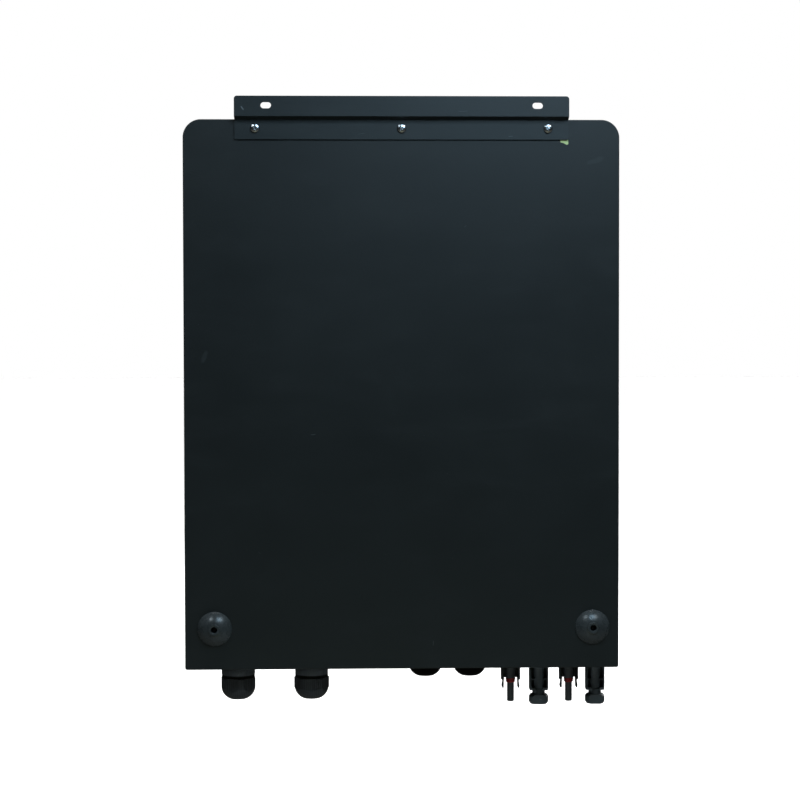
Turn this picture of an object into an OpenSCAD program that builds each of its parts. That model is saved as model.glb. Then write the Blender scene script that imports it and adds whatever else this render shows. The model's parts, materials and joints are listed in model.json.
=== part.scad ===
/* [Case] */
// Width of the back plate and case
body_w = 433; // [400:1:460]
// Height of the case, bottom edge to top edge
body_h = 546.3; // [520:0.1:580]
// Depth of the case, back face to front face
body_d = 137; // [130:1:160]
// Gap between the wall and the back plate
wall_gap = 10; // [8:0.5:14]
// Height of the slot centres above the top edge of the case
slot_rise = 12.5; // [11:0.5:16]
// Radius of the two upper corners
corner_r = 18; // [10:1:24]
// Thickness of the case sheet
sheet = 1.5; // [1:0.1:2]
// Height of the lower wiring cover
wiring_h = 140; // [120:1:160]

/* [Wall bracket] */
// Width of the hanging bracket
bracket_w = 330.5; // [300:0.5:360]
// Thickness of the bracket sheet
bracket_t = 2; // [1.5:0.1:2.5]
// Distance between the two hanging slots
slot_pitch = 268; // [240:1:280]
// End-to-end length of a hanging slot
slot_len = 10.4; // [9:0.1:14]
// Width of a hanging slot
slot_w = 6.2; // [5.5:0.1:8]
// Distance from the middle bracket screw to an outer one
bracket_screw_x = 145; // [120:1:150]

/* [Feet] */
// X position of the left spacer foot
foot_left_x = -187; // [-195:0.5:-170]
// X position of the right spacer foot
foot_right_x = 190; // [170:0.5:195]
// Height of the feet above the bottom edge
foot_rise = 41; // [30:0.1:60]
// Base diameter of a foot
foot_d = 34.4; // [28:0.2:40]

/* [Cable glands] */
// X positions of the two large glands
ac_gland_x = [-166, -91.5];
// Distance of the large glands behind the back face
ac_gland_y = 42; // [36:1:50]
// X positions of the two compact glands
battery_gland_x = [26.9, 73.7];
// Distance of the compact glands behind the back face
battery_gland_y = 101; // [90:1:108]
// Width across the flats of the gland caps
gland_af = 33.5; // [32:0.1:34]

/* [PV connectors] */
// X positions of the two tube connectors
pv_plug_x = [112.3, 172];
// X positions of the two box connectors
pv_socket_x = [141.2, 199.1];
// Distance of the connector row behind the back face
pv_y = 49; // [40:1:60]

/* [Display] */
// Height of the display centre below the top edge
display_drop = 138; // [110:1:170]
// Travel of a push button
button_travel = 1; // [0.6:0.1:1.2]
// Spacing of the push buttons
button_pitch = 30; // [24:1:34]

/* [Hidden] */
$fn = 64;
y_back = wall_gap;
y_in = y_back + sheet;
y_front = wall_gap + body_d;
z_top = -slot_rise;
z_bot = z_top - body_h;
z_split = z_bot + wiring_h;
x_in = body_w / 2 - 0.3 - sheet;
z_disp = z_top - display_drop;
flange_drop = 20;
flange_top = 9.3;
screw_z = z_top - 9.1;
foot_x = [foot_left_x, foot_right_x];
foot_z = z_bot + foot_rise;
button_x = [-1.5 * button_pitch, -0.5 * button_pitch, 0.5 * button_pitch, 1.5 * button_pitch];
fan_y = 58;
fan_z = [z_top - 112, z_top - 212];
fan_x = -x_in + 12.5;
switch_x = -60;
switch_y = y_back + 106;

// ---------- helpers ----------
// A sheet lying in the XZ plane, from y0 to y0 + t
module slab(y0, t) translate([0, y0 + t, 0]) rotate([90, 0, 0]) linear_extrude(height = t) children();
// A round bar along Y, from y0 to y0 + l
module ybar(x, y0, z, r, l) translate([x, y0 + l, z]) rotate([90, 0, 0]) cylinder(r = r, h = l);
// A round bar along X, from x0 to x0 + l
module xbar(x0, y, z, r, l) translate([x0, y, z]) rotate([0, 90, 0]) cylinder(r = r, h = l);
// A box given by its low corner and its size
module box(p, s) translate(p) cube(s);
// A slot outline, end to end along X
module slot2d(l, w) {
  square([l - w, w], center = true);
  for (s = [-1, 1]) translate([s * (l - w) / 2, 0]) circle(d = w);
}
// A rectangle outline with four round corners
module round2d(w, h, r) {
  square([w - 2 * r, h], center = true);
  square([w, h - 2 * r], center = true);
  for (sx = [-1, 1], sz = [-1, 1]) translate([sx * (w / 2 - r), sz * (h / 2 - r)]) circle(r = r);
}
// The outline of the case seen from the wall: round at the top, square at the bottom
module case2d(d, drop = 0) {
  w = body_w / 2 - d;
  translate([-w, z_bot + d - drop]) square([2 * w, body_h - corner_r - d + drop]);
  translate([-(body_w / 2 - corner_r), z_top - corner_r - 1]) square([body_w - 2 * corner_r, corner_r + 1 - d]);
  for (s = [-1, 1]) translate([s * (body_w / 2 - corner_r), z_top - corner_r]) circle(r = corner_r - d);
}
// A pan-head cross-recess screw along -Z, seat at z = 0, head above
module pan_screw(d, h, shaft, len, turn) {
  difference() {
    union() {
      intersection() {
        cylinder(d = d, h = h);
        translate([0, 0, h - (d * d / 4 + h * h) / (2 * h) * 1.12]) sphere(r = (d * d / 4 + h * h) / (2 * h) * 1.12);
      }
      translate([0, 0, -len]) cylinder(d = shaft, h = len + 0.5);
    }
    rotate([0, 0, turn]) for (a = [0, 90]) rotate([0, 0, a]) translate([0, 0, h]) cube([d * 0.56, d * 0.11, h * 1.1], center = true);
  }
}

// ---------- case ----------
module back_plate() color([0.11, 0.13, 0.14]) difference() {
  slab(y_back, sheet) case2d(0);
  for (x = [-1, 0, 1]) ybar(x * bracket_screw_x, y_back - 1, screw_z, 2.2, 6);
  for (x = foot_x) ybar(x, y_back - 1, foot_z, 1.8, 6);
}
module side_shell() color([0.11, 0.13, 0.14]) {
  difference() {
    union() {
      slab(y_in, body_d - 2 * sheet) difference() {
        case2d(0.3);
        case2d(0.3 + sheet, 6);
      }
      // welded tabs that take the wiring cover screws
      for (s = [-1, 1], z = [z_bot + 18, z_split - 18])
        box([s > 0 ? x_in - 14 : -x_in - 0.2, y_front - sheet - 2, z - 7], [14.2, 2, 14]);
    }
    box([-body_w, y_in - 1, z_bot - 10], [2 * body_w, body_d + 2, 10.3]);
    // louvre slots in both side walls
    for (s = [-1, 1], c = [-1, 1], i = [0:14])
      translate([s * (body_w / 2), y_back + 48 + c * 22.5, z_top - 74 - i * 12]) rotate([90, 0, 90])
        translate([0, 0, -4]) linear_extrude(height = 8) slot2d(36, 4);
    // holes for the side screws
    for (s = [-1, 1], z = [z_top - 50, z_top - 190, z_top - 370])
      xbar(s * body_w / 2 - 4, y_front - 8, z, 2.1, 8);
    for (s = [-1, 1], z = [z_bot + 18, z_split - 18]) ybar(s * (x_in - 7), y_front - 8, z, 1.7, 10);
  }
}
module bottom_plate() color([0.11, 0.13, 0.14]) difference() {
  union() {
    box([-x_in + 0.1, y_in, z_bot], [2 * x_in - 0.2, body_d - 2 * sheet, sheet]);
    for (s = [-1, 1]) box([s > 0 ? x_in - 0.1 - sheet : -x_in + 0.1, y_in + 2, z_bot], [sheet, body_d - 2 * sheet - 8, 12]);
    box([-x_in + 4, y_in, z_bot], [2 * x_in - 8, sheet, 12]);
  }
  for (x = ac_gland_x) translate([x, y_back + ac_gland_y, z_bot - 1]) cylinder(r = 12.6, h = 6);
  for (x = battery_gland_x) translate([x, y_back + battery_gland_y, z_bot - 1]) cylinder(r = 12.6, h = 6);
  for (x = concat(pv_plug_x, pv_socket_x)) translate([x, y_back + pv_y, z_bot - 1]) cylinder(r = 6.1, h = 6);
  box([switch_x - 14.6, switch_y - 7.1, z_bot - 1], [29.2, 14.2, 6]);
}
module front_cover() color([0.12, 0.14, 0.15]) difference() {
  union() {
    slab(y_front - sheet, sheet) intersection() {
      case2d(0);
      translate([-body_w / 2, z_split + 0.4]) square([body_w, body_h]);
    }
    slab(y_front - 14, 12.6) intersection() {
      difference() { case2d(2.1); case2d(3.3, 6); }
      translate([-body_w / 2, z_split + 4]) square([body_w, body_h]);
    }
    box([-x_in + 3, y_front - 12, z_split + 0.4], [2 * x_in - 6, 11, sheet]);
  }
  slab(y_front - 5, 8) translate([0, z_disp]) round2d(164, 104, 5);
  for (s = [-1, 1], z = [z_top - 50, z_top - 190, z_top - 370]) xbar(s * (body_w / 2 - 3) - 3, y_front - 8, z, 1.7, 6);
}
module wiring_cover() color([0.12, 0.14, 0.15]) difference() {
  union() {
    slab(y_front - sheet, sheet) translate([-body_w / 2, z_bot]) square([body_w, wiring_h - 0.4]);
    box([-x_in + 3, y_front - 12, z_bot + 2.2], [2 * x_in - 6, 11, 1.2]);
  }
  for (s = [-1, 1], z = [z_bot + 18, z_split - 18]) ybar(s * (x_in - 7), y_front - 4, z, 2.2, 6);
}
module partition_plate() color([0.55, 0.57, 0.58]) difference() {
  union() {
    box([-x_in + 0.2, y_in + 0.1, z_split - 3], [2 * x_in - 0.4, 112, 1.2]);
    for (s = [-1, 1]) box([s > 0 ? x_in - 1.4 : -x_in + 0.2, y_in + 6, z_split - 13], [1.2, 96, 11]);
    box([-x_in + 6, y_in + 0.1, z_split - 13], [2 * x_in - 12, 1.2, 11]);
  }
  for (x = [-128, 50, 156]) translate([x, y_in + 52, z_split - 6]) linear_extrude(height = 8) round2d(56, 34, 6);
}
module cover_side_screws() color([0.16, 0.16, 0.17])
  for (s = [-1, 1], i = [0:2]) translate([s * (body_w / 2 - 0.3), y_front - 8, z_top - [50, 190, 370][i]]) rotate([0, s * 90, 0])
    pan_screw(8, 2.4, 3.4, 8, 20 + 37 * i);
module wiring_cover_screws() color([0.16, 0.16, 0.17])
  for (s = [-1, 1], i = [0:1]) translate([s * (x_in - 7), y_front, [z_bot + 18, z_split - 18][i]]) rotate([-90, 0, 0])
    pan_screw(8, 2.4, 3.4, 8, 15 + 50 * i);

// ---------- wall bracket and feet ----------
// The bent sheet seen from its end: Y to the right, Z up
module bracket2d() {
  t = bracket_t;
  polygon([[0, flange_top], [0, z_top + 1.9], [y_back - t, z_top - 0.8], [y_back - t, z_top - flange_drop],
    [y_back, z_top - flange_drop], [y_back, z_top + 0.4], [t, z_top + 3.1], [t, flange_top]]);
}
module wall_bracket() color([0.16, 0.19, 0.2]) difference() {
  intersection() {
    translate([-bracket_w / 2 - 1, 0, 0]) rotate([90, 0, 90]) linear_extrude(height = bracket_w + 2) bracket2d();
    slab(-1, y_back + 2) union() {
      translate([-bracket_w / 2 + 3, -3]) square([bracket_w - 6, flange_top + 3]);
      translate([-bracket_w / 2, -14]) square([bracket_w, flange_top + 11]);
      for (s = [-1, 1]) translate([s * (bracket_w / 2 - 3), flange_top - 3]) circle(r = 3);
      translate([-bracket_w / 2, z_top - flange_drop + 1.5]) square([bracket_w, 20]);
      translate([-bracket_w / 2 + 1.5, z_top - flange_drop]) square([bracket_w - 3, 20]);
      for (s = [-1, 1]) translate([s * (bracket_w / 2 - 1.5), z_top - flange_drop + 1.5]) circle(r = 1.5);
    }
  }
  for (s = [-1, 1]) slab(-1, bracket_t + 2) translate([s * slot_pitch / 2, 0]) slot2d(slot_len, slot_w);
  for (x = [-1, 0, 1]) ybar(x * bracket_screw_x, y_back - 4, screw_z, 2.2, 8);
}
module bracket_screws() color([0.72, 0.72, 0.74])
  for (i = [0:2]) translate([(i - 1) * bracket_screw_x, y_back - bracket_t, screw_z]) rotate([90, 0, 0])
    pan_screw(9, 2.9, 4, 9, [25, 45, 20][i]);
module wall_feet() color([0.07, 0.07, 0.08])
  for (x = foot_x) translate([x, y_back, foot_z]) rotate([90, 0, 0]) rotate_extrude() polygon([
    [3.15, 3.6], [3.15, y_back - 0.5], [3.7, y_back], [7.4, y_back], [8.4, y_back - 0.35], [10.6, y_back - 1.9],
    [12.9, y_back - 4.1], [14.9, y_back - 6.5], [16.3, 2.1], [foot_d / 2, 1.1], [foot_d / 2, 0], [2, 0], [2, 3.6]]);
module foot_screws() color([0.3, 0.3, 0.31])
  for (x = foot_x) translate([x, y_back - 3.6, foot_z]) rotate([90, 0, 0]) pan_screw(5.6, 1.9, 3.2, 8.5, 30);

// ---------- display ----------
module display_bezel() color([0.05, 0.05, 0.055]) difference() {
  union() {
    slab(y_front, 2.4) translate([0, z_disp]) round2d(178, 118, 9);
    slab(y_front - 8, 8.2) translate([0, z_disp]) difference() { round2d(163.4, 103.4, 5); round2d(160, 100, 4); }
  }
  slab(y_front - 2, 8) translate([0, z_disp + 15]) round2d(104, 56, 3);
  slab(y_front + 0.8, 4) translate([0, z_disp + 15]) round2d(108.6, 60.6, 4);
  for (x = button_x) ybar(x, y_front - 3, z_disp - 36, 5.5, 8);
  for (i = [-1:1]) ybar(-68, y_front - 3, z_disp + 15 + i * 16, 2.6, 8);
}
module display_window() color([0.2, 0.25, 0.28, 0.5]) slab(y_front + 0.9, 1.4) translate([0, z_disp + 15]) round2d(108.2, 60.2, 3.8);
module lcd_module() color([0.35, 0.42, 0.36]) {
  slab(y_front - 8, 7.5) translate([0, z_disp + 15]) round2d(103, 55, 1);
  slab(y_front - 10, 2) translate([0, z_disp + 15]) square([110, 62], center = true);
}
module display_board() color([0.1, 0.32, 0.18]) {
  difference() {
    slab(y_front - 16.6, 1.6) translate([0, z_disp]) square([150, 94], center = true);
    for (sx = [-1, 1], sz = [-1, 1]) ybar(sx * 71, y_front - 20, z_disp + sz * 43, 1.6, 10);
  }
  for (x = button_x) box([x - 3, y_front - 15, z_disp - 39], [6, 6.5, 6]);
  for (sx = [-1, 1]) box([sx * 45 - 2, y_front - 15, z_disp + 13], [4, 5, 4]);
}
module button(i) color([0.25, 0.26, 0.27]) {
  ybar(button_x[i], y_front - 1.6, z_disp - 36, 5.15, 5.2);
  ybar(button_x[i], y_front - 2.6, z_disp - 36, 6.6, 1);
  ybar(button_x[i], y_front - 7.3, z_disp - 36, 1.8, 4.9);
}
module escape_button() button(0);
module up_button() button(1);
module down_button() button(2);
module enter_button() button(3);
module status_lenses() for (i = [-1:1]) color([[0.8, 0.2, 0.15], [0.85, 0.65, 0.1], [0.2, 0.7, 0.3]][i + 1])
  ybar(-68, y_front - 3, z_disp + 15 + i * 16, 2.5, 5.8);

// ---------- cable glands (local z points down, out of the case) ----------
// flange thickness, gap under the cap, cap length
LARGE = [11.4, 3, 21.6];
SMALL = [4.4, 1, 18.6];
module at_gland(x, y) translate([x, y_back + y, z_bot]) mirror([0, 0, 1]) children();
function neck_end(g) = g[0] + g[1] + g[2] - 10;
module gland_body(g) color([0.08, 0.09, 0.09]) difference() {
  union() {
    translate([0, 0, -10]) cylinder(r = 12.4, h = 10.2);
    intersection() {
      cylinder(r = gland_af / 2 + 0.3, h = g[0], $fn = 6);
      rotate_extrude() polygon([[0, 0], [16.8, 0], [17.2, 0.6], [17.2, g[0] - 0.5], [16.8, g[0]], [0, g[0]]]);
    }
    cylinder(r = 13.2, h = neck_end(g));
    // sealing washer between the hexagon and the cap
    cylinder(r = gland_af / 2 - 0.05, h = g[0] + g[1] - 0.15);
  }
  translate([0, 0, -11]) cylinder(r = 9.5, h = 60);
  translate([0, 0, neck_end(g) - 9.6]) cylinder(r = 11.1, h = 12);
}
module gland_seal(g) color([0.12, 0.12, 0.13]) translate([0, 0, neck_end(g)]) rotate_extrude()
  polygon([[6.5, -9.4], [10.9, -9.4], [10.9, 0.1], [12.9, 0.3], [12.9, 3], [8.2, 6.6], [7.1, 6.8], [7.1, 9.2], [6.5, 9.2]]);
function nut_r(d) = 8.7 + 8.2 * pow(1 - pow(1 - d / 10.5, 2), 0.8);
function rib_r(a) = min(17.8, gland_af / 2 / cos(((a + 30) % 60) - 30));
module gland_nut(g, turn) color([0.08, 0.09, 0.09]) {
  z0 = g[0] + g[1];
  z1 = z0 + g[2];
  difference() {
    intersection() {
      translate([0, 0, z0]) rotate([0, 0, turn]) linear_extrude(height = g[2])
        polygon([for (i = [0:95]) let (a = i * 3.75, r = rib_r(a) - (i % 2 == 0 ? 0 : 0.28)) [r * cos(a), r * sin(a)]]);
      rotate_extrude() polygon(concat([[0, z1]], [for (d = [0:1:9]) [nut_r(d), z1 - d]],
        [[17.1, z1 - 10], [18, z1 - 11.6], [18, z0 + 0.7], [17.3, z0], [0, z0]]));
    }
    rotate_extrude() polygon([[0, z0 - 1], [13.5, z0 - 1], [13.5, z1 - 6.4], [8.8, z1 - 2.8], [7.4, z1 - 2.8], [7.4, z1 + 1], [0, z1 + 1]]);
  }
}
module ac_input_gland_body() at_gland(ac_gland_x[0], ac_gland_y) gland_body(LARGE);
module ac_input_gland_seal() at_gland(ac_gland_x[0], ac_gland_y) gland_seal(LARGE);
module ac_input_gland_nut() at_gland(ac_gland_x[0], ac_gland_y) gland_nut(LARGE, 12);
module ac_output_gland_body() at_gland(ac_gland_x[1], ac_gland_y) rotate([0, 0, 12]) gland_body(LARGE);
module ac_output_gland_seal() at_gland(ac_gland_x[1], ac_gland_y) gland_seal(LARGE);
module ac_output_gland_nut() at_gland(ac_gland_x[1], ac_gland_y) gland_nut(LARGE, 30);
module battery_positive_gland_body() at_gland(battery_gland_x[0], battery_gland_y) gland_body(SMALL);
module battery_positive_gland_seal() at_gland(battery_gland_x[0], battery_gland_y) gland_seal(SMALL);
module battery_positive_gland_nut() at_gland(battery_gland_x[0], battery_gland_y) gland_nut(SMALL, 18);
module battery_negative_gland_body() at_gland(battery_gland_x[1], battery_gland_y) gland_body(SMALL);
module battery_negative_gland_seal() at_gland(battery_gland_x[1], battery_gland_y) gland_seal(SMALL);
module battery_negative_gland_nut() at_gland(battery_gland_x[1], battery_gland_y) gland_nut(SMALL, 40);
module locknut() translate([0, 0, -sheet - 5]) difference() {
  cylinder(r = 33 / 2 / cos(30), h = 5, $fn = 6);
  translate([0, 0, -1]) cylinder(r = 12.45, h = 7);
}
module gland_locknuts() color([0.08, 0.09, 0.09]) {
  for (x = ac_gland_x) at_gland(x, ac_gland_y) locknut();
  for (x = battery_gland_x) at_gland(x, battery_gland_y) locknut();
}

// ---------- PV connectors (local z points down) ----------
module pv_stem() {
  translate([0, 0, -13]) cylinder(r = 5.9, h = 13.2);
  intersection() { cylinder(r = 9.9, h = 3); translate([-9.9, -7.6, 0]) cube([19.8, 15.2, 3]); }
}
module pv_side(x0, x1, d, z0, z1) for (s = [0, 1]) mirror([s, 0, 0]) intersection() {
  translate([x0, -d, z0]) cube([x1 - x0, 2 * d, z1 - z0]);
  cylinder(r = 10.2, h = 60);
}
module pv_plug() color([0.12, 0.15, 0.16]) difference() {
  union() {
    pv_stem();
    translate([0, 0, 2.9]) cylinder(r1 = 6.6, r2 = 4.9, h = 15.5);
    pv_side(8, 9.8, 6.2, 2.9, 19.6);
    translate([-8.4, 5, 2.9]) cube([16.8, 2.2, 16]);
    translate([0, 0, 18.3]) cylinder(r = 4, h = 4.6);
    translate([0, 0, 22.8]) cylinder(r = 3.6, h = 18.9);
    translate([0, 0, 41.6]) cylinder(r1 = 3.6, r2 = 3.1, h = 0.7);
    // latch arms, barbed at their ends
    for (s = [0, 1]) mirror([s, 0, 0]) translate([0, 3, 0]) rotate([90, 0, 0]) linear_extrude(height = 6)
      polygon([[6.75, 17.4], [8.45, 17.4], [8.4, 22], [9.2, 26.4], [8.5, 28.5], [7.6, 28.5], [7.1, 27.7], [7, 22.5]]);
  }
  translate([0, 0, -14]) cylinder(r = 2.2, h = 60);
}
module pv_socket() color([0.12, 0.15, 0.16]) difference() {
  union() {
    pv_stem();
    translate([0, 0, 2.9]) cylinder(r = 5.3, h = 41.4);
    pv_side(8, 9.8, 6, 2.9, 29.3);
    pv_side(4, 9.4, 6.2, 28.2, 30.7);
    pv_side(4, 9.4, 5.2, 19.2, 20.1);
    translate([-8.4, 4.6, 2.9]) cube([16.8, 2.4, 27.4]);
    translate([0, 0, 30]) cylinder(r = 6.5, h = 6);
    intersection() {
      translate([-9.8, -7.4, 35.2]) cube([19.6, 14.8, 9.6]);
      rotate_extrude() polygon([[0, 35.2], [8.7, 35.2], [10.1, 37.2], [10.1, 42.6], [8.6, 44.8], [0, 44.8]]);
    }
  }
  translate([0, 0, -14]) cylinder(r = 2.2, h = 30);
  translate([0, 0, 15]) cylinder(r = 3.2, h = 20);
  translate([0, 0, 30.8]) cylinder(r = 3.7, h = 20);
}
module pv_plug_1() at_gland(pv_plug_x[0], pv_y) pv_plug();
module pv_plug_2() at_gland(pv_plug_x[1], pv_y) pv_plug();
module pv_socket_1() at_gland(pv_socket_x[0], pv_y) pv_socket();
module pv_socket_2() at_gland(pv_socket_x[1], pv_y) pv_socket();
module pv_seal_rings() color([0.45, 0.05, 0.06]) for (x = pv_plug_x) at_gland(x, pv_y) rotate_extrude() polygon([
  [4.02, 18.45], [4.75, 18.45], [5.05, 19.2], [4.85, 20], [4.5, 20.4], [4.75, 21], [4.65, 21.9], [4.3, 22.7], [4.02, 22.85]]);
module pv_contacts() color([0.75, 0.75, 0.72]) {
  for (x = pv_plug_x) at_gland(x, pv_y) translate([0, 0, -16]) difference() {
    cylinder(r = 2.1, h = 55);
    translate([0, 0, 40]) cylinder(r = 1.3, h = 20);
  }
  for (x = pv_socket_x) at_gland(x, pv_y) translate([0, 0, -16]) { cylinder(r = 2.1, h = 32); cylinder(r = 1.25, h = 45); }
}
module pv_locknuts() color([0.1, 0.1, 0.11]) for (x = concat(pv_plug_x, pv_socket_x)) at_gland(x, pv_y)
  translate([0, 0, -sheet - 4]) difference() { cylinder(r = 9, h = 4, $fn = 6); translate([0, 0, -1]) cylinder(r = 5.95, h = 6); }
module pv_leads() color([0.55, 0.06, 0.05]) for (x = concat(pv_plug_x, pv_socket_x)) at_gland(x, pv_y)
  translate([0, 0, -81]) cylinder(r = 2.6, h = 65);

// ---------- inside ----------
module terminal_rail() color([0.6, 0.62, 0.63]) union() {
  box([-200, y_in, z_bot + 92], [404, 1.2, 14]);
  box([-200, y_in, z_bot + 92], [404, 14, 1.2]);
  box([-200, y_in + 12.8, z_bot + 80], [404, 1.2, 13]);
}
module terminals(x, n, p, d, h) difference() {
  box([x, y_in + 14, z_bot + 81], [n * p, d, h]);
  for (i = [0:n - 1]) {
    translate([x + (i + 0.5) * p, y_in + 14 + d / 2 + 4, z_bot + 80]) cylinder(d = p * 0.55, h = 12);
    ybar(x + (i + 0.5) * p, y_in + 14 + d - 5, z_bot + 81 + h / 2, p * 0.28, 8);
  }
}
module ac_terminal_block() color([0.1, 0.1, 0.1]) terminals(-190, 6, 20, 30, 26);
module battery_terminals() color([0.78, 0.52, 0.3]) for (x = battery_gland_x) {
  box([x - 10, y_in + 14, z_bot + 82], [20, 62, 4]);
  translate([x, y_in + 66, z_bot + 70]) cylinder(r = 4, h = 28);
}
module pv_terminal_block() color([0.15, 0.35, 0.2]) difference() {
  box([102, y_in + 14, z_bot + 81], [108, 46, 20]);
  for (x = concat(pv_plug_x, pv_socket_x)) {
    ybar(x, y_in + 54, z_bot + 91, 3.5, 8);
  }
}
module heat_sink() color([0.7, 0.71, 0.72]) union() {
  box([-170, y_in + 44, z_top - 320], [340, 8, 270]);
  for (i = [0:26]) box([-170, y_in, z_top - 320 + i * 10 + 4], [340, 44.1, 2.2]);
}
module power_transistors() color([0.1, 0.1, 0.1])
  for (i = [0:5], j = [0:1]) box([-140 + i * 50, y_in + 52, z_top - 110 - j * 130], [16, 4.8, 21]);
module power_board() color([0.1, 0.3, 0.17]) difference() {
  slab(y_in + 57, 1.6) translate([10, z_top - 215]) square([370, 350], center = true);
  for (x = [-165, 10, 185], z = [z_top - 50, z_top - 200, z_top - 380]) ybar(x, y_in + 50, z, 1.8, 12);
}
module board_spacers() color([0.75, 0.68, 0.4]) {
  for (x = [-165, 10], z = [z_top - 60, z_top - 205, z_top - 310]) ybar(x, y_in + 52, z, 3, 5);
  for (x = [-50, 50], z = [z_top - 345, z_top - 285]) ybar(x, y_in + 58.6, z, 3, 30);
}
module bus_capacitors() color([0.12, 0.14, 0.3]) for (i = [0:4]) {
  ybar(-120 + i * 42, y_in + 58.6, z_top - 235, 17.5, 50);
  ybar(-120 + i * 42, y_in + 108.5, z_top - 235, 15.5, 0.8);
}
module toroid(x, z, r, h) translate([x, y_in + 58.6 + h, z]) rotate([90, 0, 0]) difference() {
  rotate_extrude() translate([r * 0.68, h / 2]) round2d(r * 0.64, h, 5);
  for (a = [0:20:340]) rotate([0, 0, a]) translate([r, 0, -1]) cylinder(r = 1.2, h = h + 2);
}
module inductors() color([0.6, 0.3, 0.12]) { toroid(150, z_top - 105, 32, 30); toroid(150, z_top - 180, 32, 30); toroid(150, z_top - 260, 36, 34); }
module transformer() color([0.22, 0.22, 0.23]) {
  box([-150, y_in + 58.6, z_top - 160], [62, 44, 12]);
  box([-150, y_in + 58.6, z_top - 110], [62, 44, 12]);
  box([-128, y_in + 62, z_top - 148], [18, 36, 38]);
  difference() { box([-146, y_in + 60, z_top - 147.8], [54, 40, 37.6]); box([-128.1, y_in + 59, z_top - 149], [18.2, 42, 40]); }
}
module relays() color([0.75, 0.76, 0.74]) for (i = [0:4]) box([-140 + i * 38, y_in + 58.6, z_top - 385], [29, 26, 13]);
module control_board() color([0.1, 0.3, 0.17]) {
  slab(y_in + 88.6, 1.6) translate([0, z_top - 315]) square([130, 80], center = true);
  box([-14, y_in + 90.2, z_top - 325], [22, 2, 22]);
  box([-56, y_in + 90.2, z_top - 350], [30, 8, 8]);
  box([24, y_in + 90.2, z_top - 300], [30, 8, 8]);
}
module fan_frame(z) translate([fan_x, fan_y, z]) rotate([0, 90, 0]) difference() {
  union() {
    difference() {
      translate([0, 0, -12.4]) linear_extrude(height = 24.9) round2d(80, 80, 4);
      translate([0, 0, -14]) cylinder(r = 38, h = 30);
      for (sx = [-1, 1], sy = [-1, 1]) translate([sx * 35.7, sy * 35.7, -14]) cylinder(r = 2.2, h = 30);
    }
    translate([0, 0, 9]) cylinder(r = 16, h = 3.5);
    for (a = [45:90:315]) rotate([0, 0, a]) translate([15, -2, 9]) cube([24, 4, 3]);
  }
  translate([0, 0, 2]) cylinder(r = 1.56, h = 9);
}
module fan_frames() color([0.06, 0.06, 0.06]) for (z = fan_z) fan_frame(z);
module fan_rotor(z) color([0.05, 0.05, 0.05]) translate([fan_x, fan_y, z]) rotate([0, 90, 0]) {
  translate([0, 0, -11.5]) cylinder(r = 16, h = 19.7);
  translate([0, 0, 8]) cylinder(r = 1.5, h = 2.7);
  intersection() {
    difference() { translate([0, 0, -11]) cylinder(r = 36.8, h = 18.6); translate([0, 0, -12]) cylinder(r = 15, h = 22); }
    union() for (i = [0:6]) rotate([0, 0, i * 360 / 7]) translate([25, 0, -2]) rotate([38, 0, 0]) cube([28, 2, 24], center = true);
  }
}
module upper_fan_rotor() fan_rotor(fan_z[0]);
module lower_fan_rotor() fan_rotor(fan_z[1]);
module power_switch_housing() color([0.05, 0.05, 0.05]) at_gland(switch_x, switch_y - y_back) difference() {
  union() {
    linear_extrude(height = 2) round2d(32, 17, 2);
    translate([-14.4, -6.9, -18]) cube([28.8, 13.8, 18.2]);
  }
  translate([-13.2, -5.7, -16]) cube([26.4, 11.4, 20]);
  translate([0, 8, 0]) rotate([90, 0, 0]) cylinder(r = 1.26, h = 16);
}
module power_switch_rocker() color([0.1, 0.1, 0.1]) at_gland(switch_x, switch_y - y_back) rotate([0, 8, 0]) {
  translate([0, 5.3, 0]) rotate([90, 0, 0]) linear_extrude(height = 10.6)
    polygon([[-12.3, 4.2], [0, 3.2], [12.3, 4.2], [12, -1], [7, -8], [-7, -8], [-12, -1]]);
  translate([0, 6.8, 0]) rotate([90, 0, 0]) cylinder(r = 1.2, h = 13.6);
}

back_plate();
side_shell();
bottom_plate();
front_cover();
wiring_cover();
partition_plate();
cover_side_screws();
wiring_cover_screws();
wall_bracket();
bracket_screws();
wall_feet();
foot_screws();
display_bezel();
display_window();
lcd_module();
display_board();
escape_button();
up_button();
down_button();
enter_button();
status_lenses();
ac_input_gland_body();
ac_input_gland_seal();
ac_input_gland_nut();
ac_output_gland_body();
ac_output_gland_seal();
ac_output_gland_nut();
battery_positive_gland_body();
battery_positive_gland_seal();
battery_positive_gland_nut();
battery_negative_gland_body();
battery_negative_gland_seal();
battery_negative_gland_nut();
gland_locknuts();
pv_plug_1();
pv_plug_2();
pv_socket_1();
pv_socket_2();
pv_seal_rings();
pv_contacts();
pv_locknuts();
pv_leads();
terminal_rail();
ac_terminal_block();
battery_terminals();
pv_terminal_block();
heat_sink();
power_transistors();
power_board();
bus_capacitors();
inductors();
transformer();
relays();
control_board();
board_spacers();
fan_frames();
upper_fan_rotor();
lower_fan_rotor();
power_switch_housing();
power_switch_rocker();
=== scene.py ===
import bpy, bmesh, json, math, random
from mathutils import Vector, Matrix


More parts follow.
